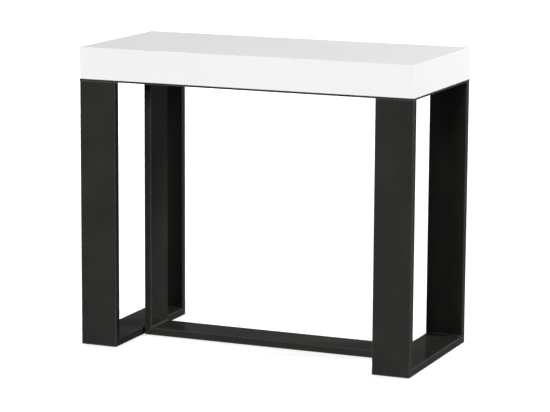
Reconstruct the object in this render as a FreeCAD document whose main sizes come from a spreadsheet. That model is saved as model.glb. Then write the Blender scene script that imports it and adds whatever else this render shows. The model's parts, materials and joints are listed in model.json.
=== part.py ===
import FreeCAD, Part
import math
import os
from types import SimpleNamespace

import Sketcher
from FreeCAD import Placement, Rotation, Vector

# Extending console table, closed. The origin is on the floor under the middle of the table,
# +X runs along its width, +Y to its rear edge and +Z up. Lengths are millimetres.

DRIVING_SIZES = {
    # overall
    "table_width": 900,
    "closed_depth": 420,
    "table_height": 773,
    "seam_gap": 0.4,
    # white top
    "slab_thickness": 81,
    "board_thickness": 18,
    "board_edge_round": 1,
    # flat steel strips under the aprons
    "strip_thickness": 5,
    "long_strip_width": 60,
    # steel tube of the legs, feet and centre support
    "tube_width": 100,
    "tube_thickness": 20,
    "tube_wall": 2,
    "tube_corner": 2.5,
    # foot ends and floor pads
    "foot_gap": 0.6,
    "plug_recess": 1,
    "plug_face": 3,
    "plug_skirt": 2,
    "plug_depth": 15,
    "plug_clearance": 0.2,
    "pad_thickness": 2,
    "pad_length": 44,
    "pad_margin": 12,
    # centre support
    "support_gap": 3,
    "saddle_height": 6,
    "saddle_margin": 10,
    "seat_margin": 0.5,
    # telescopic guide rails
    "rail_inset": 140,
    "rail_end_gap": 6,
    "rail_height": 46,
    "rail_drop": 1,
    "rail_web": 4,
    "rail_flange": 4,
    "rail_lip": 3,
    "slot_depth": 7,
    "slot_mouth": 14,
    "slide_gap": 0.4,
    "face_gap": 0.6,
    # crossbars of the sliding stages
    "crossbar_width": 25,
    "crossbar_thickness": 4,
    "spacer_thickness": 1.5,
    "crossbar_margin": 12.5,
    "crossbar_gap": 10,
    # angle brackets that hang the end rails from the panels
    "bracket_thickness": 3,
    "bracket_leg": 30,
    "bracket_length": 50,
    "bracket_seam_margin": 40,
    "bracket_end_margin": 6,
    # countersunk screws through the strips
    "screw_diameter": 5,
    "screw_length": 25,
    "screw_head_diameter": 10,
    "screw_clearance": 0.3,
    "long_screw_margin": 65,
    "side_screw_seam_margin": 50,
    # alignment pins across the seam
    "pin_diameter": 8,
    "pin_length": 30,
    "pin_margin": 170,
    "pin_seat_clearance": 0.15,
    "pin_slide_clearance": 0.4,
    # how far a cut runs past what it cuts
    "overrun": 10,
}

RAIL_COUNT = 7
MIDDLE_RAIL = 4
LONG_SCREW_COUNT = 3
PIN_COUNT = 3
BRACKET_COUNT = 2

# A piece of the rear half, or of the right side, is its twin turned half round
HALF_TURN = 180
HALF_TURNS = {"front": 0, "rear": HALF_TURN}
SIDE_TURNS = {"left": 0, "right": HALF_TURN}
SIDE_SIGNS = {"left": -1, "right": 1}

X_AXIS = Vector(1, 0, 0)
Y_AXIS = Vector(0, 1, 0)
Z_AXIS = Vector(0, 0, 1)

# How a sketch numbers its axes, its origin and the points of its lines, arcs and circles
HORIZONTAL_AXIS, VERTICAL_AXIS = range(-1, -3, -1)
START_POINT, END_POINT, CENTRE_POINT = range(1, 4)
SKETCH_ORIGIN = (HORIZONTAL_AXIS, START_POINT)


class Size:
    """A length together with the sheet expression that gives it."""

    def __init__(self, value, text):
        self.value = value
        self.text = text

    def __add__(self, other):
        return Size(self.value + other.value, f"({self.text} + {other.text})")

    def __sub__(self, other):
        return Size(self.value - other.value, f"({self.text} - {other.text})")

    def __mul__(self, factor):
        return Size(self.value * factor, f"({self.text} * {factor})")

    def __truediv__(self, factor):
        return Size(self.value / factor, f"({self.text} / {factor})")

    def __neg__(self):
        return self * -1


ZERO = Size(0, "0")

doc = FreeCAD.newDocument("ExtendingConsoleTable")


def make_sheet(values):
    """Writes each driving size to its own named cell and gives the sizes back by name."""
    sheet = doc.addObject("Spreadsheet::Sheet", "Sizes")
    sizes = {}
    for row, (name, value) in enumerate(values.items(), start=1):
        sheet.set(f"A{row}", name)
        sheet.set(f"B{row}", str(value))
        sheet.setAlias(f"B{row}", name)
        sizes[name] = Size(value, f"Sizes.{name}")
    doc.recompute()
    return SimpleNamespace(**sizes)


s = make_sheet(DRIVING_SIZES)

# Places that follow from the driving sizes
half_width = s.table_width / 2
half_depth = s.closed_depth / 2
half_seam = s.seam_gap / 2
half_board = s.board_thickness / 2
half_tube = s.tube_width / 2
half_foot_gap = s.foot_gap / 2
board_depth = half_depth - half_seam
panel_underside = s.table_height - s.board_thickness
slab_underside = s.table_height - s.slab_thickness
strip_underside = slab_underside - s.strip_thickness
strip_inner_edge = half_width - s.tube_width
leg_centre = half_width - half_tube
leg_length = strip_underside - s.pad_thickness
foot_length = half_depth - half_foot_gap
support_half_width = strip_inner_edge - s.support_gap
rail_underside = panel_underside - s.rail_drop - s.rail_height
rail_outer_face = half_width - s.rail_inset
rail_half_length = half_depth - s.board_thickness - s.rail_end_gap
rail_depth = s.rail_web + s.slot_depth + s.rail_lip
rail_pitch = rail_depth + s.face_gap
support_top = rail_underside - s.saddle_height
screw_line = half_width - half_board
screw_hole = s.screw_diameter + s.screw_clearance * 2
screw_bite = s.screw_length - s.strip_thickness + s.screw_clearance


def places_between(first, last, count):
    """Evenly spaced places from the first to the last."""
    return [first + (last - first) * (step / (count - 1)) for step in range(count)]


long_screw_end = strip_inner_edge - s.long_screw_margin
long_screw_places = places_between(-long_screw_end, long_screw_end, LONG_SCREW_COUNT)
pin_end = half_width - s.pin_margin
pin_places = places_between(-pin_end, pin_end, PIN_COUNT)


def new_body(label):
    body = doc.addObject("PartDesign::Body", label)
    body.Label = label
    return body


def origin_feature(body, role):
    return next(item for item in body.Origin.OriginFeatures if item.Role == role)


def add_sketch(body, plane, lift=ZERO):
    """A sketch on one of the body's own planes, lifted along that plane's normal."""
    sketch = body.newObject("Sketcher::SketchObject", f"{body.Label}_sketch")
    sketch.AttachmentSupport = (origin_feature(body, plane), [""])
    sketch.MapMode = "FlatFace"
    sketch.setExpression("AttachmentOffset.Base.z", lift.text)
    return sketch


def sketch_vector(point):
    across, up = point
    return Vector(across.value, up.value, 0)


def hold_coordinate(sketch, geometry, point, kind, axis, place):
    """Holds one coordinate of a point at its place, or on the axis where that place is zero."""
    if place is ZERO:
        sketch.addConstraint(Sketcher.Constraint("PointOnObject", geometry, point, axis))
        return
    rule = Sketcher.Constraint(kind, *SKETCH_ORIGIN, geometry, point, place.value)
    index = sketch.addConstraint(rule)
    sketch.setExpression(f"Constraints[{index}]", place.text)


def hold_point(sketch, geometry, point, place):
    across, up = place
    hold_coordinate(sketch, geometry, point, "DistanceX", VERTICAL_AXIS, across)
    hold_coordinate(sketch, geometry, point, "DistanceY", HORIZONTAL_AXIS, up)


def join_ends(sketch, first, second, first_point=END_POINT, second_point=START_POINT):
    sketch.addConstraint(Sketcher.Constraint("Coincident", first, first_point, second, second_point))


def draw_lines(sketch, points):
    """Straight lines from point to point, each held at its start and joined to the next."""
    corners = [sketch_vector(point) for point in points]
    lines = [sketch.addGeometry(Part.LineSegment(*ends)) for ends in zip(corners, corners[1:])]
    for line, follower in zip(lines, lines[1:]):
        join_ends(sketch, line, follower)
    for line, point in zip(lines, points):
        hold_point(sketch, line, START_POINT, point)
    return lines


def draw_polygon(sketch, points):
    lines = draw_lines(sketch, points + points[:1])
    join_ends(sketch, lines[-1], lines[0])


def draw_arc(sketch, centre, radius, start_angle, turn_angle):
    """An arc that still has to be joined to its neighbours at both ends."""
    circle = Part.Circle(sketch_vector(centre), Z_AXIS, radius.value)
    arc = sketch.addGeometry(Part.ArcOfCircle(circle, start_angle, start_angle + turn_angle))
    index = sketch.addConstraint(Sketcher.Constraint("Radius", arc, radius.value))
    sketch.setExpression(f"Constraints[{index}]", radius.text)
    return arc


def rectangle(left, low, right, high):
    return [(left, low), (right, low), (right, high), (left, high)]


def draw_rounded_rectangle(sketch, left, low, right, high, radius):
    """Four sides held at both ends, joined by quarter rounds, counterclockwise from the low side."""
    sides = [
        ((left + radius, low), (right - radius, low)),
        ((right, low + radius), (right, high - radius)),
        ((right - radius, high), (left + radius, high)),
        ((left, high - radius), (left, low + radius)),
    ]
    centres = [
        (right - radius, low + radius),
        (right - radius, high - radius),
        (left + radius, high - radius),
        (left + radius, low + radius),
    ]
    lines = []
    for start, end in sides:
        line = sketch.addGeometry(Part.LineSegment(sketch_vector(start), sketch_vector(end)))
        hold_point(sketch, line, START_POINT, start)
        hold_point(sketch, line, END_POINT, end)
        lines.append(line)
    quarter = math.pi / 2
    for step, centre in enumerate(centres):
        arc = draw_arc(sketch, centre, radius, (step - 1) * quarter, quarter)
        join_ends(sketch, lines[step], arc)
        join_ends(sketch, arc, lines[(step + 1) % len(lines)])


def draw_circle(sketch, centre, diameter):
    circle = sketch.addGeometry(Part.Circle(sketch_vector(centre), Z_AXIS, diameter.value / 2))
    hold_point(sketch, circle, CENTRE_POINT, centre)
    index = sketch.addConstraint(Sketcher.Constraint("Diameter", circle, diameter.value))
    sketch.setExpression(f"Constraints[{index}]", diameter.text)


def extrude(body, kind, sketch, length, side_type="One side", backwards=False):
    feature = body.newObject(f"PartDesign::{kind}", f"{body.Label}_{kind.lower()}")
    feature.Profile = sketch
    feature.SideType = side_type
    feature.Reversed = backwards
    feature.setExpression("Length", length.text)
    doc.recompute()
    return feature


def pad(body, sketch, length, **options):
    return extrude(body, "Pad", sketch, length, **options)


def cut(body, sketch, length, **options):
    """A pocket that has to take material away."""
    volume_before = body.Shape.Volume
    extrude(body, "Pocket", sketch, length, **options)
    if not body.Shape.Volume < volume_before:
        raise RuntimeError(f"a cut in {body.Label} took nothing away")


def place(body, base, x_direction=X_AXIS, z_direction=Z_AXIS, turn=0):
    """Points the body's own X and Z axes, then turns body and base about the middle of the table."""
    y_direction = z_direction.cross(x_direction)
    pointed = Rotation(x_direction, y_direction, z_direction, "ZXY")
    body.Placement = Placement(Vector(), Rotation(Z_AXIS, turn).multiply(pointed))
    sign = -1 if turn == HALF_TURN else 1
    across, along, up = base
    body.setExpression("Placement.Base.x", (across * sign).text)
    body.setExpression("Placement.Base.y", (along * sign).text)
    body.setExpression("Placement.Base.z", up.text)


# White boards of the top: a board's outer face is its own XY plane and its thickness runs inward


def draw_board_mitre(sketch, end, inward):
    """What a 45 degree mitre takes off a board's end, with half of the rounded outer edge."""
    radius = s.board_edge_round
    arc_foot = radius * (1 - math.sqrt(0.5))
    far = s.board_thickness + s.overrun
    outside = end - s.overrun * inward
    arc_start = (end + arc_foot * inward, arc_foot)
    arc_end = (end + radius * inward, ZERO)
    corners = [
        arc_start,
        (end + far * inward, far),
        (outside, far),
        (outside, -s.overrun),
        (end + radius * inward, -s.overrun),
        arc_end,
    ]
    lines = draw_lines(sketch, corners)
    hold_point(sketch, lines[-1], END_POINT, arc_end)
    eighth = math.pi / 4
    centre = (end + radius * inward, radius)
    if inward > 0:
        arc = draw_arc(sketch, centre, radius, 5 * eighth, eighth)
        join_ends(sketch, arc, lines[0], START_POINT, START_POINT)
        join_ends(sketch, lines[-1], arc, END_POINT, END_POINT)
    else:
        arc = draw_arc(sketch, centre, radius, 6 * eighth, eighth)
        join_ends(sketch, arc, lines[0])
        join_ends(sketch, lines[-1], arc)


def make_board(label, length, width, end_mitres, edge_mitres):
    """A board of length by width, mitred at some ends (along X) and edges (along Y)."""
    body = new_body(label)
    outline = add_sketch(body, "XY_Plane")
    draw_polygon(outline, rectangle(ZERO, ZERO, length, width))
    pad(body, outline, s.board_thickness)
    for plane, reach, mitres, across in (
        ("XZ_Plane", length, end_mitres, width),
        ("YZ_Plane", width, edge_mitres, length),
    ):
        saw_cut = add_sketch(body, plane)
        if "low" in mitres:
            draw_board_mitre(saw_cut, ZERO, 1)
        if "high" in mitres:
            draw_board_mitre(saw_cut, reach, -1)
        cut(body, saw_cut, (across + s.overrun) * 2, side_type="Symmetric")
    return body


def drill_pin_holes(panel, clearance):
    """Holes in the seam edge for the alignment pins."""
    holes = add_sketch(panel, "XZ_Plane")
    for pin_place in pin_places:
        draw_circle(holes, (half_width + pin_place, half_board), s.pin_diameter + clearance * 2)
    cut(panel, holes, s.pin_length / 2 - half_seam + clearance)


def drill_screw_holes(apron, screw_places):
    """Holes in the lower edge for the screws that hold the strip."""
    holes = add_sketch(apron, "XZ_Plane", lift=-s.slab_thickness)
    for screw_place in screw_places:
        draw_circle(holes, (screw_place, half_board), screw_hole)
    cut(apron, holes, screw_bite, backwards=True)


def make_top_panel(half, turn, pin_clearance):
    panel = make_board(f"{half}_top_panel", s.table_width, board_depth, ("low", "high"), ("high",))
    drill_pin_holes(panel, pin_clearance)
    place(panel, (-half_width, -half_seam, s.table_height), X_AXIS, -Z_AXIS, turn)


def make_long_apron(half, turn):
    apron = make_board(f"{half}_apron", s.table_width, s.slab_thickness, ("low", "high"), ("low",))
    drill_screw_holes(apron, [half_width + screw_place for screw_place in long_screw_places])
    place(apron, (-half_width, -half_depth, s.table_height), X_AXIS, Y_AXIS, turn)


def make_side_aprons(half, turn):
    left_name, right_name = side_names(half)
    left = make_board(f"{half}_{left_name}_apron", board_depth, s.slab_thickness, ("high",), ("low",))
    drill_screw_holes(left, [s.side_screw_seam_margin - half_seam])
    place(left, (-half_width, -half_seam, s.table_height), -Y_AXIS, X_AXIS, turn)
    right = make_board(f"{half}_{right_name}_apron", board_depth, s.slab_thickness, ("low",), ("low",))
    drill_screw_holes(right, [half_depth - s.side_screw_seam_margin])
    place(right, (half_width, -half_depth, s.table_height), Y_AXIS, -X_AXIS, turn)


def make_seam_pins():
    pins = new_body("seam_pins")
    outline = add_sketch(pins, "XZ_Plane")
    for pin_place in pin_places:
        draw_circle(outline, (pin_place, ZERO), s.pin_diameter)
    pad(pins, outline, s.pin_length, side_type="Symmetric")
    place(pins, (ZERO, ZERO, s.table_height - half_board))


# Flat steel strips and their screws


def add_head_cone(body, kind, point):
    """The cone of a countersunk head, as deep as the strip, with its wide end on the body's XY plane."""
    cone = body.newObject(f"PartDesign::{kind}Cone", f"{body.Label}_cone")
    cone.AttachmentSupport = (origin_feature(body, "XY_Plane"), [""])
    cone.MapMode = "FlatFace"
    across, along = point
    cone.setExpression("AttachmentOffset.Base.x", across.text)
    cone.setExpression("AttachmentOffset.Base.y", along.text)
    cone.setExpression("Radius1", (s.screw_head_diameter / 2).text)
    cone.setExpression("Radius2", (s.screw_diameter / 2).text)
    cone.setExpression("Height", s.strip_thickness.text)
    doc.recompute()


def make_strip(label, corners, hole_places, turn):
    strip = new_body(label)
    outline = add_sketch(strip, "XY_Plane")
    draw_polygon(outline, rectangle(*corners))
    pad(strip, outline, s.strip_thickness)
    for hole_place in hole_places:
        add_head_cone(strip, "Subtractive", hole_place)
    place(strip, (ZERO, ZERO, strip_underside), turn=turn)


def long_screw_points():
    return [(screw_place, half_board - half_depth) for screw_place in long_screw_places]


def side_screw_point(sign):
    return screw_line * sign, -s.side_screw_seam_margin


def make_strips(half, turn):
    inner_y = s.long_strip_width - half_depth
    corners = (-strip_inner_edge, -half_depth, strip_inner_edge, inner_y)
    make_strip(f"{half}_strip", corners, long_screw_points(), turn)
    for name, sign in zip(side_names(half), SIDE_SIGNS.values()):
        corners = (strip_inner_edge * sign, -half_depth, half_width * sign, -half_seam)
        make_strip(f"{half}_{name}_strip", corners, [side_screw_point(sign)], turn)


def make_strip_screws(half, turn):
    """Countersunk heads flush with the underside of the strips, and their shanks."""
    screws = new_body(f"{half}_strip_screws")
    points = long_screw_points() + [side_screw_point(sign) for sign in SIDE_SIGNS.values()]
    shanks = add_sketch(screws, "XY_Plane", lift=s.strip_thickness)
    for point in points:
        add_head_cone(screws, "Additive", point)
        draw_circle(shanks, point, s.screw_diameter)
    pad(screws, shanks, s.screw_length - s.strip_thickness)
    place(screws, (ZERO, ZERO, strip_underside), turn=turn)


# Steel tube: its own Z runs along the tube, and its thickness runs along Y from the outer face


def make_tube(label, length, mitres):
    """A flat rectangular tube, mitred across its thickness so that the outer face stays longest."""
    tube = new_body(label)
    section = add_sketch(tube, "XY_Plane")
    draw_rounded_rectangle(section, -half_tube, ZERO, half_tube, s.tube_thickness, s.tube_corner)
    inner_half = half_tube - s.tube_wall
    draw_polygon(section, rectangle(-inner_half, s.tube_wall, inner_half, s.tube_thickness - s.tube_wall))
    pad(tube, section, length)
    saw_cut = add_sketch(tube, "YZ_Plane")
    far = s.tube_thickness + s.overrun
    if "low" in mitres:
        draw_polygon(saw_cut, [(-s.overrun, -s.overrun), (far, -s.overrun), (far, far)])
    if "high" in mitres:
        past_end = length + s.overrun
        draw_polygon(saw_cut, [(-s.overrun, past_end), (far, past_end), (far, length - far)])
    cut(tube, saw_cut, s.tube_width + s.overrun * 2, side_type="Symmetric")
    return tube


def make_legs_and_feet(half, turn):
    for name, sign in zip(side_names(half), SIDE_SIGNS.values()):
        corner = (leg_centre * sign, -half_depth, s.pad_thickness)
        leg = make_tube(f"{half}_{name}_leg", leg_length, ("low",))
        place(leg, corner, X_AXIS, Z_AXIS, turn)
        foot = make_tube(f"{half}_{name}_foot", foot_length, ("low",))
        place(foot, corner, -X_AXIS, Y_AXIS, turn)


def make_foot_plugs(half, turn):
    """Plastic caps pushed into the open foot ends: a face, and a skirt along the tube's inside."""
    plugs = new_body(f"{half}_foot_plugs")
    face_place = half_foot_gap + s.plug_recess
    faces = add_sketch(plugs, "XZ_Plane", lift=face_place)
    skirts = add_sketch(plugs, "XZ_Plane", lift=face_place)
    margin = s.tube_wall + s.plug_clearance
    for sign in SIDE_SIGNS.values():
        left = leg_centre * sign - half_tube + margin
        right = leg_centre * sign + half_tube - margin
        top = s.tube_thickness - margin
        draw_polygon(faces, rectangle(left, margin, right, top))
        draw_polygon(skirts, rectangle(left, margin, right, top))
        inside = (left + s.plug_skirt, margin + s.plug_skirt, right - s.plug_skirt, top - s.plug_skirt)
        draw_polygon(skirts, rectangle(*inside))
    pad(plugs, faces, s.plug_face)
    pad(plugs, skirts, s.plug_depth)
    place(plugs, (ZERO, ZERO, s.pad_thickness), turn=turn)


def make_floor_pads(label, pads, turn=0):
    """Thin pads, each given by its left, low, right and high edge."""
    body = new_body(label)
    outline = add_sketch(body, "XY_Plane")
    for edges in pads:
        draw_polygon(outline, rectangle(*edges))
    pad(body, outline, s.pad_thickness)
    place(body, (ZERO, ZERO, ZERO), turn=turn)


def make_foot_pads(half, turn):
    half_pad = half_tube - s.pad_margin
    outer_low = s.pad_margin - half_depth
    inner_high = -half_foot_gap - s.pad_margin
    pads = []
    for sign in SIDE_SIGNS.values():
        left = leg_centre * sign - half_pad
        right = leg_centre * sign + half_pad
        pads.append((left, outer_low, right, outer_low + s.pad_length))
        pads.append((left, inner_high - s.pad_length, right, inner_high))
    make_floor_pads(f"{half}_floor_pads", pads, turn)


# Centre support


def make_centre_support():
    low_corner = (-support_half_width, ZERO, s.pad_thickness)
    both_ends = ("low", "high")
    stretcher = make_tube("support_stretcher", support_half_width * 2, both_ends)
    place(stretcher, low_corner, Y_AXIS, X_AXIS)
    for side, turn in SIDE_TURNS.items():
        post = make_tube(f"support_{side}_post", support_top - s.pad_thickness, both_ends)
        place(post, low_corner, -Y_AXIS, Z_AXIS, turn)
    top_tube = make_tube("support_top_tube", support_half_width * 2, both_ends)
    place(top_tube, (-support_half_width, ZERO, support_top), -Y_AXIS, X_AXIS)


def make_support_pads():
    half_pad = half_tube - s.pad_margin
    outer = support_half_width - s.pad_margin
    inner = outer - s.pad_length
    pads = [(-outer, -half_pad, -inner, half_pad), (inner, -half_pad, outer, half_pad)]
    make_floor_pads("support_floor_pads", pads)


def rail_place(number):
    """Distance from the middle of the table to the outer face of a rail's web."""
    return rail_outer_face - rail_pitch * (number - 1)


def seat_edges(number):
    """The span under a rail that is clear of its neighbours, from its outer to its inner edge."""
    outer = rail_place(number)
    return outer - s.seat_margin, outer - rail_depth + s.seat_margin


def make_saddles():
    saddles = new_body("guide_saddles")
    outline = add_sketch(saddles, "XY_Plane")
    outer, inner = seat_edges(MIDDLE_RAIL)
    half_length = half_tube - s.saddle_margin
    for sign in SIDE_SIGNS.values():
        draw_polygon(outline, rectangle(inner * sign, -half_length, outer * sign, half_length))
    pad(saddles, outline, s.saddle_height)
    place(saddles, (ZERO, ZERO, support_top))


# Telescopic guide: the T head of each rail runs in the slot of the next rail out


def head_side():
    """The T head and its stem, from the lower to the upper end of the web's outer face."""
    stem_half = s.slot_mouth / 2 - s.slide_gap
    head_half = s.rail_height / 2 - s.rail_flange - s.slide_gap
    stem_end = -(s.rail_lip + s.face_gap * 2)
    head_end = -(s.rail_lip + s.slot_depth)
    return [
        (ZERO, -stem_half),
        (stem_end, -stem_half),
        (stem_end, -head_half),
        (head_end, -head_half),
        (head_end, head_half),
        (stem_end, head_half),
        (stem_end, stem_half),
        (ZERO, stem_half),
    ]


def slot_side():
    """The flanges and lips round the slot, from the upper to the lower end of the rail."""
    half_height = s.rail_height / 2
    half_slot = half_height - s.rail_flange
    half_mouth = s.slot_mouth / 2
    lip_start = rail_depth - s.rail_lip
    upper = [
        (rail_depth, half_height),
        (rail_depth, half_mouth),
        (lip_start, half_mouth),
        (lip_start, half_slot),
        (s.rail_web, half_slot),
    ]
    return upper + [(across, -up) for across, up in reversed(upper)]


def plain_side():
    half_height = s.rail_height / 2
    return [(s.rail_web, half_height), (s.rail_web, -half_height)]


def make_rail(side, number):
    rail = new_body(f"{side}_guide_rail_{number}")
    half_height = s.rail_height / 2
    outer = head_side() if number > 1 else []
    inner = slot_side() if number < RAIL_COUNT else plain_side()
    section = add_sketch(rail, "XZ_Plane")
    draw_polygon(section, [(ZERO, -half_height), *outer, (ZERO, half_height), *inner])
    pad(rail, section, rail_half_length * 2, side_type="Symmetric")
    place(rail, (-rail_place(number), ZERO, rail_underside + half_height), turn=SIDE_TURNS[side])


def make_crossbar(half, stage):
    """A flat bar that ties the two rails of one stage, with spacers that keep it off the others."""
    direction = 1 if half == "rear" else -1
    outer, inner = seat_edges(MIDDLE_RAIL - direction * stage)
    first_place = half_tube + s.crossbar_margin + s.crossbar_width / 2
    along = first_place + (s.crossbar_width + s.crossbar_gap) * (stage - 1)
    bar = new_body(f"{half}_stage_{stage}_crossbar")
    bar_section = add_sketch(bar, "XZ_Plane")
    draw_polygon(bar_section, rectangle(-outer, -s.crossbar_thickness, outer, ZERO))
    pad(bar, bar_section, s.crossbar_width, side_type="Symmetric")
    place(bar, (ZERO, along * direction, rail_underside - s.spacer_thickness))
    spacers = new_body(f"{half}_stage_{stage}_spacers")
    spacer_section = add_sketch(spacers, "XZ_Plane")
    for sign in SIDE_SIGNS.values():
        draw_polygon(spacer_section, rectangle(inner * sign, -s.spacer_thickness, outer * sign, ZERO))
    pad(spacers, spacer_section, s.crossbar_width, side_type="Symmetric")
    place(spacers, (ZERO, along * direction, rail_underside))


def make_guide_brackets(half, turn):
    """Angle brackets between an end rail's free face and the panel above it."""
    if half == "front":
        rail_face = rail_place(RAIL_COUNT) - s.rail_web
        reach = -1
    else:
        rail_face = rail_place(1)
        reach = 1
    wall = rail_face + s.bracket_thickness * reach
    tip = rail_face + s.bracket_leg * reach
    brackets = new_body(f"{half}_guide_brackets")
    section = add_sketch(brackets, "XZ_Plane", lift=s.bracket_seam_margin)
    for sign in SIDE_SIGNS.values():
        outline = [
            (rail_face, ZERO),
            (tip, ZERO),
            (tip, -s.bracket_thickness),
            (wall, -s.bracket_thickness),
            (wall, -s.bracket_leg),
            (rail_face, -s.bracket_leg),
        ]
        draw_polygon(section, [(across * sign, up) for across, up in outline])
    first_pair = pad(brackets, section, s.bracket_length)
    row = brackets.newObject("PartDesign::LinearPattern", f"{brackets.Label}_row")
    row.Originals = [first_pair]
    row.Direction = (origin_feature(brackets, "Y_Axis"), [""])
    row.Reversed = True
    row_length = rail_half_length - s.bracket_end_margin - s.bracket_length - s.bracket_seam_margin
    row.setExpression("Length", row_length.text)
    row.Occurrences = BRACKET_COUNT
    brackets.Tip = row
    doc.recompute()
    place(brackets, (ZERO, ZERO, panel_underside), turn=turn)


def side_names(half):
    """Names of the pieces on the -X and the +X side of a half before it is turned."""
    if half == "front":
        return "left", "right"
    return "right", "left"


def make_half(half, turn):
    pin_clearance = s.pin_seat_clearance if half == "front" else s.pin_slide_clearance
    make_top_panel(half, turn, pin_clearance)
    make_long_apron(half, turn)
    make_side_aprons(half, turn)
    make_strips(half, turn)
    make_strip_screws(half, turn)
    make_legs_and_feet(half, turn)
    make_foot_plugs(half, turn)
    make_foot_pads(half, turn)
    make_guide_brackets(half, turn)


def make_guide():
    for side in SIDE_TURNS:
        for number in range(1, RAIL_COUNT + 1):
            make_rail(side, number)
    for half in HALF_TURNS:
        for stage in range(1, MIDDLE_RAIL - 1):
            make_crossbar(half, stage)


def make_table():
    for half, turn in HALF_TURNS.items():
        make_half(half, turn)
    make_seam_pins()
    make_centre_support()
    make_support_pads()
    make_saddles()
    make_guide()
    doc.recompute()


def check_document():
    for item in doc.Objects:
        if "Invalid" in item.State or "Error" in item.State:
            raise RuntimeError(f"{item.Label} failed: {item.State}")


def sub_parts():
    return [item for item in doc.Objects if item.TypeId == "PartDesign::Body"]


def check_shape(body):
    if body.Shape.isNull() or not body.Shape.isValid():
        raise RuntimeError(f"{body.Label} has no valid shape")


def export_parts():
    os.makedirs("parts", exist_ok=True)
    for body in sub_parts():
        body.Shape.exportStep(f"parts/{body.Label}.step")


make_table()
check_document()
for sub_part in sub_parts():
    check_shape(sub_part)
export_parts()
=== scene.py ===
import json
import math

import bmesh
import bpy
from mathutils import Matrix, Vector


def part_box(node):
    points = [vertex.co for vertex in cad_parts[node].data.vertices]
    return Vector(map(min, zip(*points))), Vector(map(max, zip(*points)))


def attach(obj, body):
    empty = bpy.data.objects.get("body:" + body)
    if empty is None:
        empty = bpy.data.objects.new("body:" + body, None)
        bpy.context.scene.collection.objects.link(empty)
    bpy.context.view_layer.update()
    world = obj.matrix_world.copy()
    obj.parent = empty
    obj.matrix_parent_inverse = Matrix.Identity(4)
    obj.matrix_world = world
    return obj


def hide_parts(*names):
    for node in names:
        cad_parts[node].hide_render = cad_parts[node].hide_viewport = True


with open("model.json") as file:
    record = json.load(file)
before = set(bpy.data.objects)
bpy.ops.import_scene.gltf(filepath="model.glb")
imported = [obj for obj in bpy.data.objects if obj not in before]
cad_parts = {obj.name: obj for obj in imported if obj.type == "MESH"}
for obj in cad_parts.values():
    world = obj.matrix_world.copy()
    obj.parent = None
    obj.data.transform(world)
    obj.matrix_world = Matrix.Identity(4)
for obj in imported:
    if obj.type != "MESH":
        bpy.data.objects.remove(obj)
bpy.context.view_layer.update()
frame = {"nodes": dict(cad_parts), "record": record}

# Looks of the extending console table. Lengths are metres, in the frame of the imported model:
# the origin is on the floor under the middle of the table, +X to the right, +Y to the rear.

MM = 0.001
SAME_POINT_DISTANCE = 0.01 * MM
UP = Vector((0, 0, 1))
DOWN = Vector((0, 0, -1))

# Sides by their sign along X, halves by their sign along Y, and the stages of the guide in a half
SIDE_SIGNS = {"left": -1, "right": 1}
HALF_SIGNS = {"front": -1, "rear": 1}
STAGE_NUMBERS = (1, 2)

# Camera of the photograph: its focal length in the photograph's pixels, its sensor in millimetres
PHOTO_WIDTH = 550
SENSOR_WIDTH = 36.0
FOCAL_PIXELS = 2416.4
EYE = Vector((2.3725, -5.6295, 1.4599))
AZIMUTH = math.radians(22.84)
PITCH = math.radians(-10.18)
ROLL = math.radians(0.34)

# Finish. A noise mostly stays between its low and its high. The likeness is that of a face's own
# normal to the normal round about it, which is one on a flat and less along an edge. Along an edge the
# steel's colour is lightened: a painted highlight, with some wear.
NOISE_LOW = 0.3
NOISE_HIGH = 0.7
FLAT_LIKENESS = 0.998
EDGE_LIKENESS = 0.96
# Width of the band along the edges that gets the painted highlight, which also stands for wear
EDGE_HIGHLIGHT_WIDTH = 3.0 * MM
SHARP_ANGLE = math.radians(35)

# Screws and rivets
FASTENER_SEGMENTS = 24
SOCKET_SIDES = 6
SCREW_HEAD_RADIUS = 4.0 * MM
SCREW_HEAD_HEIGHT = 2.2 * MM
SCREW_SOCKET_RADIUS = 1.6 * MM
SCREW_SOCKET_DEPTH = 1.3 * MM
RIVET_RADIUS = 3.2 * MM
RIVET_HEIGHT = 1.6 * MM
COUNTERSUNK_RIM = 0.3 * MM
COUNTERSUNK_SOCKET_RADIUS = 2.2 * MM
COUNTERSUNK_SOCKET_DEPTH = 2.0 * MM
COUNTERSUNK_POINT = 4.0 * MM
COUNTERSUNK_SHANK_SHARE = 0.5
COUNTERSUNK_TIP_SHARE = 0.25
BRACKET_THICKNESS = 3.0 * MM
BRACKET_FASTENER_SPREAD = 13.0 * MM
BRACKET_RIVET_HEIGHT = 11.0 * MM
CROSSBAR_SCREW_SPREAD = 6.5 * MM
SADDLE_BOLT_SPREAD = 24.0 * MM

# The rings of a head, from its foot to its middle, as shares of its radius and its height
SCREW_HEAD_SHARES = ((1.0, 0.0), (1.0, 0.25), (0.94, 0.55), (0.78, 0.85), (0.58, 1.0))
RIVET_HEAD_SHARES = ((1.0, 0.0), (1.0, 0.2), (0.88, 0.6), (0.62, 0.9), (0.36, 1.0), (0.3, 0.75))

# Weld beads. The hollow is how far the face of a bead lies inside a quarter round between two
# ripples, and the fill is how much less it does so on a crest.
WELD_LEG = 4.0 * MM
WELD_PITCH = 2.4 * MM
WELD_END_MARGIN = 3.0 * MM
WELD_ARC_STEPS = 5
WELD_STEPS_PER_RIPPLE = 4
WELD_VALLEY_SHARE = 0.8
WELD_HOLLOW_SHARE = 0.42
WELD_CREST_FILL_SHARE = 0.10

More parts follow.
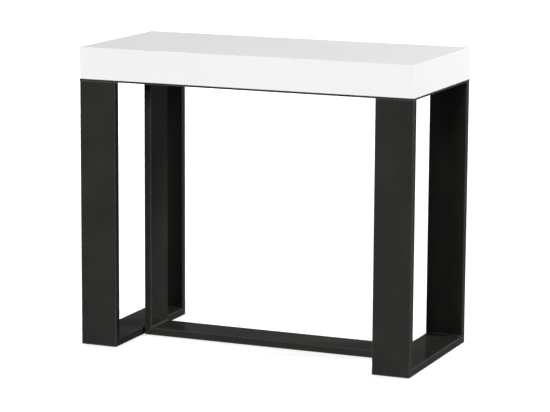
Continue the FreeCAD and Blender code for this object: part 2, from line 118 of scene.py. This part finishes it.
# Floor and light. The floor is darker in its own bounced light than where it is seen.
FLOOR_REACH = 30.0
FLOOR_GAP = 0.2 * MM
FLOOR_BOUNCE_GREY = 0.35
FLOOR_SEEN_GREY = 0.60
FLOOR_FADE_START = 1.0
FLOOR_FADE_END = 7.0
FLOOR_NEAR_WHITE = 0.68
FLOOR_FAR_WHITE = 0.95
WORLD_LIGHT = 0.05
WORLD_SEEN_WHITE = 1.0
LAMP_TARGET = Vector((0, 0, 0.5))

# Softboxes. The bearing, from the front towards the right, and the rise are in degrees,
# the power is in watts.
SOFTBOXES = {
    "front_softbox": {"bearing": -1, "rise": 21, "distance": 18.0, "size": 5.6, "power": 3280},
    "right_softbox": {"bearing": 109, "rise": 28, "distance": 7.0, "size": 1.8, "power": 490},
    "left_softbox": {"bearing": -127, "rise": 9, "distance": 7.0, "size": 2.4, "power": 400},
}


# Materials


class MaterialMaker:
    """A node material with one Principled shader, and short calls for the textures it uses."""

    def __init__(self, name, metallic=0.0, specular=0.5):
        self.material = bpy.data.materials.new(name)
        self.material.use_nodes = True
        self.nodes = self.material.node_tree.nodes
        self.links = self.material.node_tree.links
        self.shader = self.nodes["Principled BSDF"]
        self.place = self.nodes.new("ShaderNodeTexCoord").outputs["Object"]
        self.set_value("Metallic", metallic)
        self.set_value("Specular IOR Level", specular)

    def set_value(self, socket, value):
        """A value that is the same all over the surface."""
        self.shader.inputs[socket].default_value = value

    def stretched(self, stretch):
        """Object coordinates multiplied axis by axis."""
        mapping = self.nodes.new("ShaderNodeMapping")
        mapping.inputs["Scale"].default_value = stretch
        self.links.new(self.place, mapping.inputs["Vector"])
        return mapping.outputs["Vector"]

    def noise(self, scale, detail, stretch=(1, 1, 1)):
        """Noise with about this many cells per metre."""
        node = self.nodes.new("ShaderNodeTexNoise")
        node.inputs["Scale"].default_value = scale
        node.inputs["Detail"].default_value = detail
        self.links.new(self.stretched(stretch), node.inputs["Vector"])
        return node.outputs["Fac"]

    def cells(self, scale):
        """Flat cells of a random value, as the crystals of a zinc coat."""
        node = self.nodes.new("ShaderNodeTexVoronoi")
        node.inputs["Scale"].default_value = scale
        self.links.new(self.place, node.inputs["Vector"])
        channels = self.nodes.new("ShaderNodeSeparateColor")
        self.links.new(node.outputs["Color"], channels.inputs["Color"])
        return channels.outputs["Red"]

    def edges(self, width):
        """One along the edges and nought on the flats: how far the normal turns within the width."""
        bevel = self.nodes.new("ShaderNodeBevel")
        bevel.inputs["Radius"].default_value = width
        face = self.nodes.new("ShaderNodeNewGeometry")
        likeness = self.nodes.new("ShaderNodeVectorMath")
        likeness.operation = "DOT_PRODUCT"
        self.links.new(bevel.outputs["Normal"], likeness.inputs[0])
        self.links.new(face.outputs["Normal"], likeness.inputs[1])
        spread = self.nodes.new("ShaderNodeMapRange")
        spread.inputs["From Min"].default_value = FLAT_LIKENESS
        spread.inputs["From Max"].default_value = EDGE_LIKENESS
        self.links.new(likeness.outputs["Value"], spread.inputs["Value"])
        return spread.outputs["Result"]

    def color_between(self, factor, dark, light):
        """The colour goes from dark to light as the factor rises."""
        ramp = self.nodes.new("ShaderNodeValToRGB")
        low, high = ramp.color_ramp.elements
        low.position = NOISE_LOW
        high.position = NOISE_HIGH
        low.color = (*dark, 1)
        high.color = (*light, 1)
        self.links.new(factor, ramp.inputs["Fac"])
        self.links.new(ramp.outputs["Color"], self.shader.inputs["Base Color"])
        return ramp.outputs["Color"]

    def edge_wear_and_highlight(self, color, worn_highlight_color, width):
        """The colour turns to a lighter one along the edges: a painted highlight, with some wear of the
        coat.
        """
        mix = self.nodes.new("ShaderNodeMix")
        mix.data_type = "RGBA"
        plain_input, highlight_input = (socket for socket in mix.inputs if socket.type == "RGBA")
        color_output = next(socket for socket in mix.outputs if socket.type == "RGBA")
        self.links.new(self.edges(width), mix.inputs["Factor"])
        self.links.new(color, plain_input)
        highlight_input.default_value = (*worn_highlight_color, 1)
        self.links.new(color_output, self.shader.inputs["Base Color"])

    def roughness_between(self, factor, low, high):
        """The roughness goes from low to high as the factor rises."""
        spread = self.nodes.new("ShaderNodeMapRange")
        spread.inputs["From Min"].default_value = NOISE_LOW
        spread.inputs["From Max"].default_value = NOISE_HIGH
        spread.inputs["To Min"].default_value = low
        spread.inputs["To Max"].default_value = high
        self.links.new(factor, spread.inputs["Value"])
        self.links.new(spread.outputs["Result"], self.shader.inputs["Roughness"])

    def bump(self, height, strength, distance):
        """A relief up to the distance high."""
        node = self.nodes.new("ShaderNodeBump")
        node.inputs["Strength"].default_value = strength
        node.inputs["Distance"].default_value = distance
        self.links.new(height, node.inputs["Height"])
        self.links.new(node.outputs["Normal"], self.shader.inputs["Normal"])


def make_white_laminate():
    """Matt melamine, a little uneven in tone."""
    maker = MaterialMaker("white_laminate", specular=0.03)
    tone = maker.noise(scale=6, detail=3)
    maker.color_between(tone, dark=(0.765, 0.765, 0.768), light=(0.785, 0.785, 0.787))
    maker.roughness_between(maker.noise(scale=45, detail=3), low=0.80, high=0.88)
    maker.bump(maker.noise(scale=1400, detail=4), strength=0.12, distance=0.12 * MM)
    return maker.material


def make_anthracite_steel():
    """Satin powder coat with its fine orange peel, thinner along the edges and lighter there as a
    painted highlight.
    """
    maker = MaterialMaker("anthracite_steel", specular=0.0)
    maker.set_value("Coat Weight", 0.09)
    maker.set_value("Coat Roughness", 0.20)
    maker.set_value("Coat IOR", 1.22)
    tone = maker.noise(scale=11, detail=4)
    powder = maker.color_between(tone, dark=(0.0209, 0.0220, 0.0194), light=(0.0258, 0.0271, 0.0239))
    # Lighter colour along the edges: a painted highlight, with some wear of the coat
    maker.edge_wear_and_highlight(powder, worn_highlight_color=(0.067, 0.070, 0.063), width=EDGE_HIGHLIGHT_WIDTH)
    maker.roughness_between(maker.noise(scale=160, detail=3), low=0.36, high=0.44)
    maker.bump(maker.noise(scale=950, detail=3), strength=0.25, distance=0.25 * MM)
    return maker.material


def make_guide_aluminium():
    """Extruded aluminium with die lines along the rail."""
    maker = MaterialMaker("guide_aluminium", metallic=1.0)
    lines = maker.noise(scale=40, detail=4, stretch=(25, 0.15, 25))
    maker.color_between(lines, dark=(0.29, 0.295, 0.30), light=(0.38, 0.385, 0.39))
    maker.roughness_between(lines, low=0.50, high=0.60)
    maker.bump(lines, strength=0.15, distance=0.1 * MM)
    return maker.material


def make_zinc_steel():
    """Galvanised sheet and fasteners, with the crystals of the zinc."""
    maker = MaterialMaker("zinc_steel", metallic=1.0)
    maker.color_between(maker.cells(scale=260), dark=(0.30, 0.31, 0.32), light=(0.40, 0.41, 0.41))
    maker.roughness_between(maker.noise(scale=220, detail=3), low=0.44, high=0.58)
    maker.bump(maker.noise(scale=1100, detail=2), strength=0.08, distance=0.1 * MM)
    return maker.material


def make_floor_pad_rubber():
    """Dull rubber with a fine grain."""
    maker = MaterialMaker("floor_pad_rubber", specular=0.25)
    maker.set_value("Roughness", 0.85)
    tone = maker.noise(scale=180, detail=4)
    maker.color_between(tone, dark=(0.012, 0.012, 0.012), light=(0.022, 0.022, 0.022))
    maker.bump(maker.noise(scale=1800, detail=3), strength=0.4, distance=0.3 * MM)
    return maker.material


def make_black_plastic():
    """Moulded plastic with a very fine grain."""
    maker = MaterialMaker("black_plastic", specular=0.4)
    tone = maker.noise(scale=90, detail=3)
    maker.color_between(tone, dark=(0.009, 0.009, 0.009), light=(0.014, 0.014, 0.014))
    maker.roughness_between(maker.noise(scale=300, detail=3), low=0.45, high=0.6)
    maker.bump(maker.noise(scale=2600, detail=2), strength=0.3, distance=0.2 * MM)
    return maker.material


def make_bare_wood():
    """Beech dowel with its grain along the pin."""
    maker = MaterialMaker("bare_wood", specular=0.3)
    grain = maker.noise(scale=60, detail=5, stretch=(14, 0.6, 14))
    maker.color_between(grain, dark=(0.42, 0.26, 0.14), light=(0.60, 0.41, 0.25))
    maker.roughness_between(grain, low=0.52, high=0.68)
    maker.bump(grain, strength=0.3, distance=0.3 * MM)
    return maker.material


MATERIAL_MAKERS = {
    "white_laminate": make_white_laminate,
    "anthracite_steel": make_anthracite_steel,
    "guide_aluminium": make_guide_aluminium,
    "zinc_steel": make_zinc_steel,
    "floor_pad_rubber": make_floor_pad_rubber,
    "black_plastic": make_black_plastic,
    "bare_wood": make_bare_wood,
}
materials = {slot: make() for slot, make in MATERIAL_MAKERS.items()}


def dress_nodes():
    """Every node keeps its solid and takes the finish of its material slot."""
    for row in frame["record"]["subparts"]:
        node = frame["nodes"][row["node"]]
        node.data.materials.clear()
        node.data.materials.append(materials[row["material_slot"]])


# Boxes of the separate solids of a node


def take_island(remaining):
    """Takes one connected group of points out of the remaining ones."""
    stack = [remaining.pop()]
    island = list(stack)
    while stack:
        for edge in stack.pop().link_edges:
            for vertex in edge.verts:
                if vertex in remaining:
                    remaining.remove(vertex)
                    stack.append(vertex)
                    island.append(vertex)
    return island


def box_of(points):
    """Lowest and highest corner of some points."""
    low = Vector(min(point[axis] for point in points) for axis in range(3))
    high = Vector(max(point[axis] for point in points) for axis in range(3))
    return low, high


def middle_of(box):
    low, high = box
    return (low + high) / 2


def solid_boxes(node):
    """Lowest and highest corner of each separate solid of a node."""
    shape = bmesh.new()
    shape.from_mesh(frame["nodes"][node].data)
    bmesh.ops.remove_doubles(shape, verts=shape.verts[:], dist=SAME_POINT_DISTANCE)
    remaining = set(shape.verts)
    boxes = []
    while remaining:
        boxes.append(box_of([vertex.co.copy() for vertex in take_island(remaining)]))
    shape.free()
    return sorted(boxes, key=lambda box: tuple(box[0]))


# Pieces that belong to the looks alone


def add_piece(name, shape, body, slot):
    """A new object from a bmesh, which rides on a body and has the finish of a slot."""
    mesh = bpy.data.meshes.new(name)
    shape.to_mesh(mesh)
    shape.free()
    piece = bpy.data.objects.new(name, mesh)
    bpy.context.scene.collection.objects.link(piece)
    mesh.materials.append(materials[slot])
    for face in mesh.polygons:
        face.use_smooth = True
    mesh.set_sharp_from_angle(angle=SHARP_ANGLE)
    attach(piece, body)
    return piece


def facing(point, direction):
    """A place at the point whose own +Z looks along the direction."""
    turn = direction.to_track_quat("Z", "Y").to_matrix().to_4x4()
    return Matrix.Translation(point) @ turn


def polygon_share(angle, sides):
    """Outline of a regular polygon at an angle, as a share of its radius to the corners."""
    sector = 2 * math.pi / sides
    off_middle = angle % sector - sector / 2
    return math.cos(sector / 2) / math.cos(off_middle)


def add_ring(shape, matrix, radius, height, sides=FASTENER_SEGMENTS):
    """A ring of points round the local Z axis, on a polygon of which, by default, each is a corner."""
    ring = []
    for step in range(FASTENER_SEGMENTS):
        angle = step * 2 * math.pi / FASTENER_SEGMENTS
        reach = radius * polygon_share(angle, sides)
        point = Vector((reach * math.cos(angle), reach * math.sin(angle), height))
        ring.append(shape.verts.new(matrix @ point))
    return ring


def add_head_rings(shape, matrix, radius, height, head_shares):
    """The rings of a round head, from its foot to its middle."""
    rings = []
    for radius_share, height_share in head_shares:
        rings.append(add_ring(shape, matrix, radius * radius_share, height * height_share))
    return rings


def add_socket_rings(shape, matrix, radius, top, depth):
    """The mouth and the floor of a hexagon socket."""
    return [add_ring(shape, matrix, radius, height, SOCKET_SIDES) for height in (top, top - depth)]


def join_rings(shape, rings):
    """Side faces between neighbouring rings of points, and a lid on the first and the last."""
    count = len(rings[0])
    for lower, upper in zip(rings, rings[1:]):
        for step in range(count):
            follower = (step + 1) % count
            shape.faces.new((lower[step], lower[follower], upper[follower], upper[step]))
    shape.faces.new(list(reversed(rings[0])))
    shape.faces.new(rings[-1])


def add_screw_head(shape, point, direction):
    """A button head with a hexagon socket, standing on the point."""
    matrix = facing(point, direction)
    rings = add_head_rings(shape, matrix, SCREW_HEAD_RADIUS, SCREW_HEAD_HEIGHT, SCREW_HEAD_SHARES)
    rings += add_socket_rings(shape, matrix, SCREW_SOCKET_RADIUS, SCREW_HEAD_HEIGHT, SCREW_SOCKET_DEPTH)
    join_rings(shape, rings)


def add_rivet_head(shape, point, direction):
    """A low dome with the dimple that the drawn pin leaves."""
    matrix = facing(point, direction)
    join_rings(shape, add_head_rings(shape, matrix, RIVET_RADIUS, RIVET_HEIGHT, RIVET_HEAD_SHARES))


def add_countersunk_screw(shape, box, head_depth):
    """A flush countersunk head with a hexagon socket, its shank and its point, filling the box."""
    low, high = box
    head_radius = (high.x - low.x) / 2
    shank_radius = head_radius * COUNTERSUNK_SHANK_SHARE
    length = high.z - low.z
    middle = middle_of(box)
    matrix = facing((middle.x, middle.y, low.z), DOWN)
    profile = (
        (shank_radius * COUNTERSUNK_TIP_SHARE, -length),
        (shank_radius, COUNTERSUNK_POINT - length),
        (shank_radius, -head_depth),
        (head_radius, -COUNTERSUNK_RIM),
        (head_radius, 0),
    )
    rings = [add_ring(shape, matrix, radius, height) for radius, height in profile]
    rings += add_socket_rings(shape, matrix, COUNTERSUNK_SOCKET_RADIUS, 0, COUNTERSUNK_SOCKET_DEPTH)
    join_rings(shape, rings)


def add_weld_section(shape, centre, first_leg, second_leg, wave):
    """One section across a bead: its root and the arc of its face. The wave is one on a crest."""
    size = WELD_LEG * (WELD_VALLEY_SHARE + (1 - WELD_VALLEY_SHARE) * wave)
    hollow = WELD_HOLLOW_SHARE - WELD_CREST_FILL_SHARE * wave
    section = [shape.verts.new(centre)]
    for step in range(WELD_ARC_STEPS + 1):
        angle = step / WELD_ARC_STEPS * math.pi / 2
        reach = size * (1 - hollow * math.sin(2 * angle))
        direction = first_leg * math.cos(angle) + second_leg * math.sin(angle)
        section.append(shape.verts.new(centre + direction * reach))
    return section


def add_weld(shape, start, end, first_leg, second_leg):
    """A rippled fillet bead along a corner, from start to end, with its legs along the two faces."""
    ripple_count = round((end - start).length / WELD_PITCH)
    step_count = ripple_count * WELD_STEPS_PER_RIPPLE
    sections = []
    for step in range(step_count + 1):
        along = step / step_count
        wave = abs(math.sin(math.pi * ripple_count * along))
        centre = start.lerp(end, along)
        sections.append(add_weld_section(shape, centre, first_leg, second_leg, wave))
    join_rings(shape, sections)
    bmesh.ops.recalc_face_normals(shape, faces=shape.faces[:])


def make_leg_welds(half, sign):
    """Beads in the corners between a half's legs, their feet and their strips."""
    shape = bmesh.new()
    inward = Vector((0, -sign, 0))
    for side in SIDE_SIGNS:
        leg_low, leg_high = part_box(f"{half}_{side}_leg")
        foot_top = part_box(f"{half}_{side}_foot")[1].z
        inner_y = leg_high.y if sign < 0 else leg_low.y
        for height, upright in ((foot_top, UP), (leg_high.z, DOWN)):
            start = Vector((leg_low.x + WELD_END_MARGIN, inner_y, height))
            end = Vector((leg_high.x - WELD_END_MARGIN, inner_y, height))
            add_weld(shape, start, end, inward, upright)
    add_piece(f"{half}_leg_welds", shape, f"{half}_half", "anthracite_steel")


def make_support_welds():
    """Beads in the four inner corners of the centre support."""
    shape = bmesh.new()
    stretcher_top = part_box("support_stretcher")[1].z
    tube_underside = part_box("support_top_tube")[0].z
    for side, sign in SIDE_SIGNS.items():
        post_low, post_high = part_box(f"support_{side}_post")
        inner_x = post_high.x if sign < 0 else post_low.x
        inward = Vector((-sign, 0, 0))
        for height, upright in ((stretcher_top, UP), (tube_underside, DOWN)):
            start = Vector((inner_x, post_low.y + WELD_END_MARGIN, height))
            end = Vector((inner_x, post_high.y - WELD_END_MARGIN, height))
            add_weld(shape, start, end, inward, upright)
    add_piece("support_welds", shape, "centre_support", "anthracite_steel")


def make_strip_screws(half):
    """Screws that hold the strips to the aprons, flush with the strips."""
    node = f"{half}_strip_screws"
    strip_low, strip_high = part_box(f"{half}_strip")
    shape = bmesh.new()
    for box in solid_boxes(node):
        add_countersunk_screw(shape, box, strip_high.z - strip_low.z)
    piece = add_piece(f"{half}_socket_screws", shape, f"{half}_half", "zinc_steel")
    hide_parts(node)


def make_bracket_fasteners(half, sign):
    """Screws up into the panel and rivets into the rail, two of each at every bracket.

    The flanges of the front half's brackets reach inward, those of the rear half's outward.
    """
    shape = bmesh.new()
    for low, high in solid_boxes(f"{half}_guide_brackets"):
        middle = middle_of((low, high))
        flange_sign = math.copysign(1, middle.x) * sign
        rail_face, tip = (high.x, low.x) if flange_sign < 0 else (low.x, high.x)
        wall_face = rail_face + BRACKET_THICKNESS * flange_sign
        flange_middle = (wall_face + tip) / 2
        for spread in (-BRACKET_FASTENER_SPREAD, BRACKET_FASTENER_SPREAD):
            along = middle.y + spread
            add_screw_head(shape, (flange_middle, along, high.z - BRACKET_THICKNESS), DOWN)
            rivet_place = (wall_face, along, low.z + BRACKET_RIVET_HEIGHT)
            add_rivet_head(shape, rivet_place, Vector((flange_sign, 0, 0)))
    add_piece(f"{half}_bracket_fasteners", shape, f"{half}_half", "zinc_steel")


def add_screw_pairs(shape, node, spread, underside):
    """Two screw heads on an underside below each solid of a node."""
    for box in solid_boxes(node):
        middle = middle_of(box)
        for along in (middle.y - spread, middle.y + spread):
            add_screw_head(shape, (middle.x, along, underside), DOWN)


def make_crossbar_screws(half, stage):
    """Two screws up through each end of a crossbar and its spacer into the rail."""
    stage_name = f"{half}_stage_{stage}"
    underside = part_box(f"{stage_name}_crossbar")[0].z
    shape = bmesh.new()
    add_screw_pairs(shape, f"{stage_name}_spacers", CROSSBAR_SCREW_SPREAD, underside)
    add_piece(f"{stage_name}_screws", shape, stage_name, "zinc_steel")


def make_saddle_bolts():
    """Two bolts up through the top tube into each saddle."""
    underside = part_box("support_top_tube")[0].z
    shape = bmesh.new()
    add_screw_pairs(shape, "guide_saddles", SADDLE_BOLT_SPREAD, underside)
    add_piece("saddle_bolts", shape, "centre_support", "zinc_steel")


dress_nodes()
for half_name, half_sign in HALF_SIGNS.items():
    make_leg_welds(half_name, half_sign)
    make_strip_screws(half_name)
    make_bracket_fasteners(half_name, half_sign)
    for stage_number in STAGE_NUMBERS:
        make_crossbar_screws(half_name, stage_number)
make_support_welds()
make_saddle_bolts()


# Floor, light and camera


def grey(level):
    return (level, level, level, 1)


def make_floor():
    """A wide plain floor, a hair below the pads so that their undersides stay clear of it."""
    mesh = bpy.data.meshes.new("studio_floor")
    corner_signs = ((-1, -1), (1, -1), (1, 1), (-1, 1))
    corners = [(FLOOR_REACH * across, FLOOR_REACH * along, -FLOOR_GAP) for across, along in corner_signs]
    mesh.from_pydata(corners, [], [(0, 1, 2, 3)])
    floor = bpy.data.objects.new("studio_floor", mesh)
    bpy.context.scene.collection.objects.link(floor)
    mesh.materials.append(make_floor_material())


def make_floor_material():
    """White with its shadow where the camera or a gloss sees it, and plain grey for its own light."""
    material = bpy.data.materials.new("studio_floor")
    material.use_nodes = True
    nodes = material.node_tree.nodes
    links = material.node_tree.links
    nodes.clear()
    bounce = nodes.new("ShaderNodeBsdfDiffuse")
    bounce.inputs["Color"].default_value = grey(FLOOR_BOUNCE_GREY)
    shadowed = nodes.new("ShaderNodeBsdfDiffuse")
    shadowed.inputs["Color"].default_value = grey(FLOOR_SEEN_GREY)
    white = nodes.new("ShaderNodeEmission")
    links.new(fade_to_white(nodes, links), white.inputs["Strength"])
    seen = nodes.new("ShaderNodeAddShader")
    links.new(shadowed.outputs[0], seen.inputs[0])
    links.new(white.outputs[0], seen.inputs[1])
    mix = nodes.new("ShaderNodeMixShader")
    links.new(seen_ray(nodes, links), mix.inputs["Fac"])
    links.new(bounce.outputs[0], mix.inputs[1])
    links.new(seen.outputs[0], mix.inputs[2])
    output = nodes.new("ShaderNodeOutputMaterial")
    links.new(mix.outputs[0], output.inputs["Surface"])
    return material


def fade_to_white(nodes, links):
    """Brightness of the floor itself, fuller away from the table, where less lamplight falls."""
    distance = nodes.new("ShaderNodeVectorMath")
    distance.operation = "LENGTH"
    links.new(nodes.new("ShaderNodeTexCoord").outputs["Object"], distance.inputs[0])
    fade = nodes.new("ShaderNodeMapRange")
    fade.interpolation_type = "SMOOTHSTEP"
    fade.inputs["From Min"].default_value = FLOOR_FADE_START
    fade.inputs["From Max"].default_value = FLOOR_FADE_END
    fade.inputs["To Min"].default_value = FLOOR_NEAR_WHITE
    fade.inputs["To Max"].default_value = FLOOR_FAR_WHITE
    links.new(distance.outputs["Value"], fade.inputs["Value"])
    return fade.outputs["Result"]


def seen_ray(nodes, links):
    """One for a ray that shows what it meets: from the camera, or off a gloss, or through glass."""
    path = nodes.new("ShaderNodeLightPath")
    seen = path.outputs["Is Camera Ray"]
    for name in ("Is Glossy Ray", "Is Transmission Ray"):
        either = nodes.new("ShaderNodeMath")
        either.operation = "MAXIMUM"
        links.new(seen, either.inputs[0])
        links.new(path.outputs[name], either.inputs[1])
        seen = either.outputs[0]
    return seen


def make_world():
    """White to look at, and a low even light on the table."""
    world = bpy.data.worlds.new("studio")
    world.use_nodes = True
    nodes = world.node_tree.nodes
    links = world.node_tree.links
    strength = nodes.new("ShaderNodeMapRange")
    strength.inputs["To Min"].default_value = WORLD_LIGHT
    strength.inputs["To Max"].default_value = WORLD_SEEN_WHITE
    links.new(seen_ray(nodes, links), strength.inputs["Value"])
    background = nodes["Background"]
    background.inputs["Color"].default_value = grey(1)
    links.new(strength.outputs["Result"], background.inputs["Strength"])
    bpy.context.scene.world = world


def add_softbox(name, bearing, rise, distance, size, power):
    """A square lamp that looks at the middle of the table."""
    lamp = bpy.data.lights.new(name, "AREA")
    lamp.shape = "SQUARE"
    lamp.size = size
    lamp.energy = power
    holder = bpy.data.objects.new(name, lamp)
    turn = math.radians(bearing)
    lift = math.radians(rise)
    across = math.sin(turn) * math.cos(lift)
    along = -math.cos(turn) * math.cos(lift)
    direction = Vector((across, along, math.sin(lift)))
    holder.location = LAMP_TARGET + direction * distance
    holder.rotation_euler = direction.to_track_quat("Z", "Y").to_euler()
    bpy.context.scene.collection.objects.link(holder)


def make_camera():
    """The photograph's camera: turned from the front, tilted down and rolled a little."""
    lens = bpy.data.cameras.new("photo_camera")
    lens.sensor_width = SENSOR_WIDTH
    lens.lens = FOCAL_PIXELS / PHOTO_WIDTH * SENSOR_WIDTH
    camera = bpy.data.objects.new("photo_camera", lens)
    turn = Matrix.Rotation(AZIMUTH, 4, "Z")
    tilt = Matrix.Rotation(math.pi / 2 + PITCH, 4, "X")
    roll = Matrix.Rotation(ROLL, 4, "Z")
    camera.matrix_world = Matrix.Translation(EYE) @ turn @ tilt @ roll
    bpy.context.scene.collection.objects.link(camera)
    bpy.context.scene.camera = camera


make_floor()
make_world()
for lamp_name, lamp_values in SOFTBOXES.items():
    add_softbox(lamp_name, **lamp_values)
make_camera()
bpy.context.scene.view_settings.view_transform = "Standard"
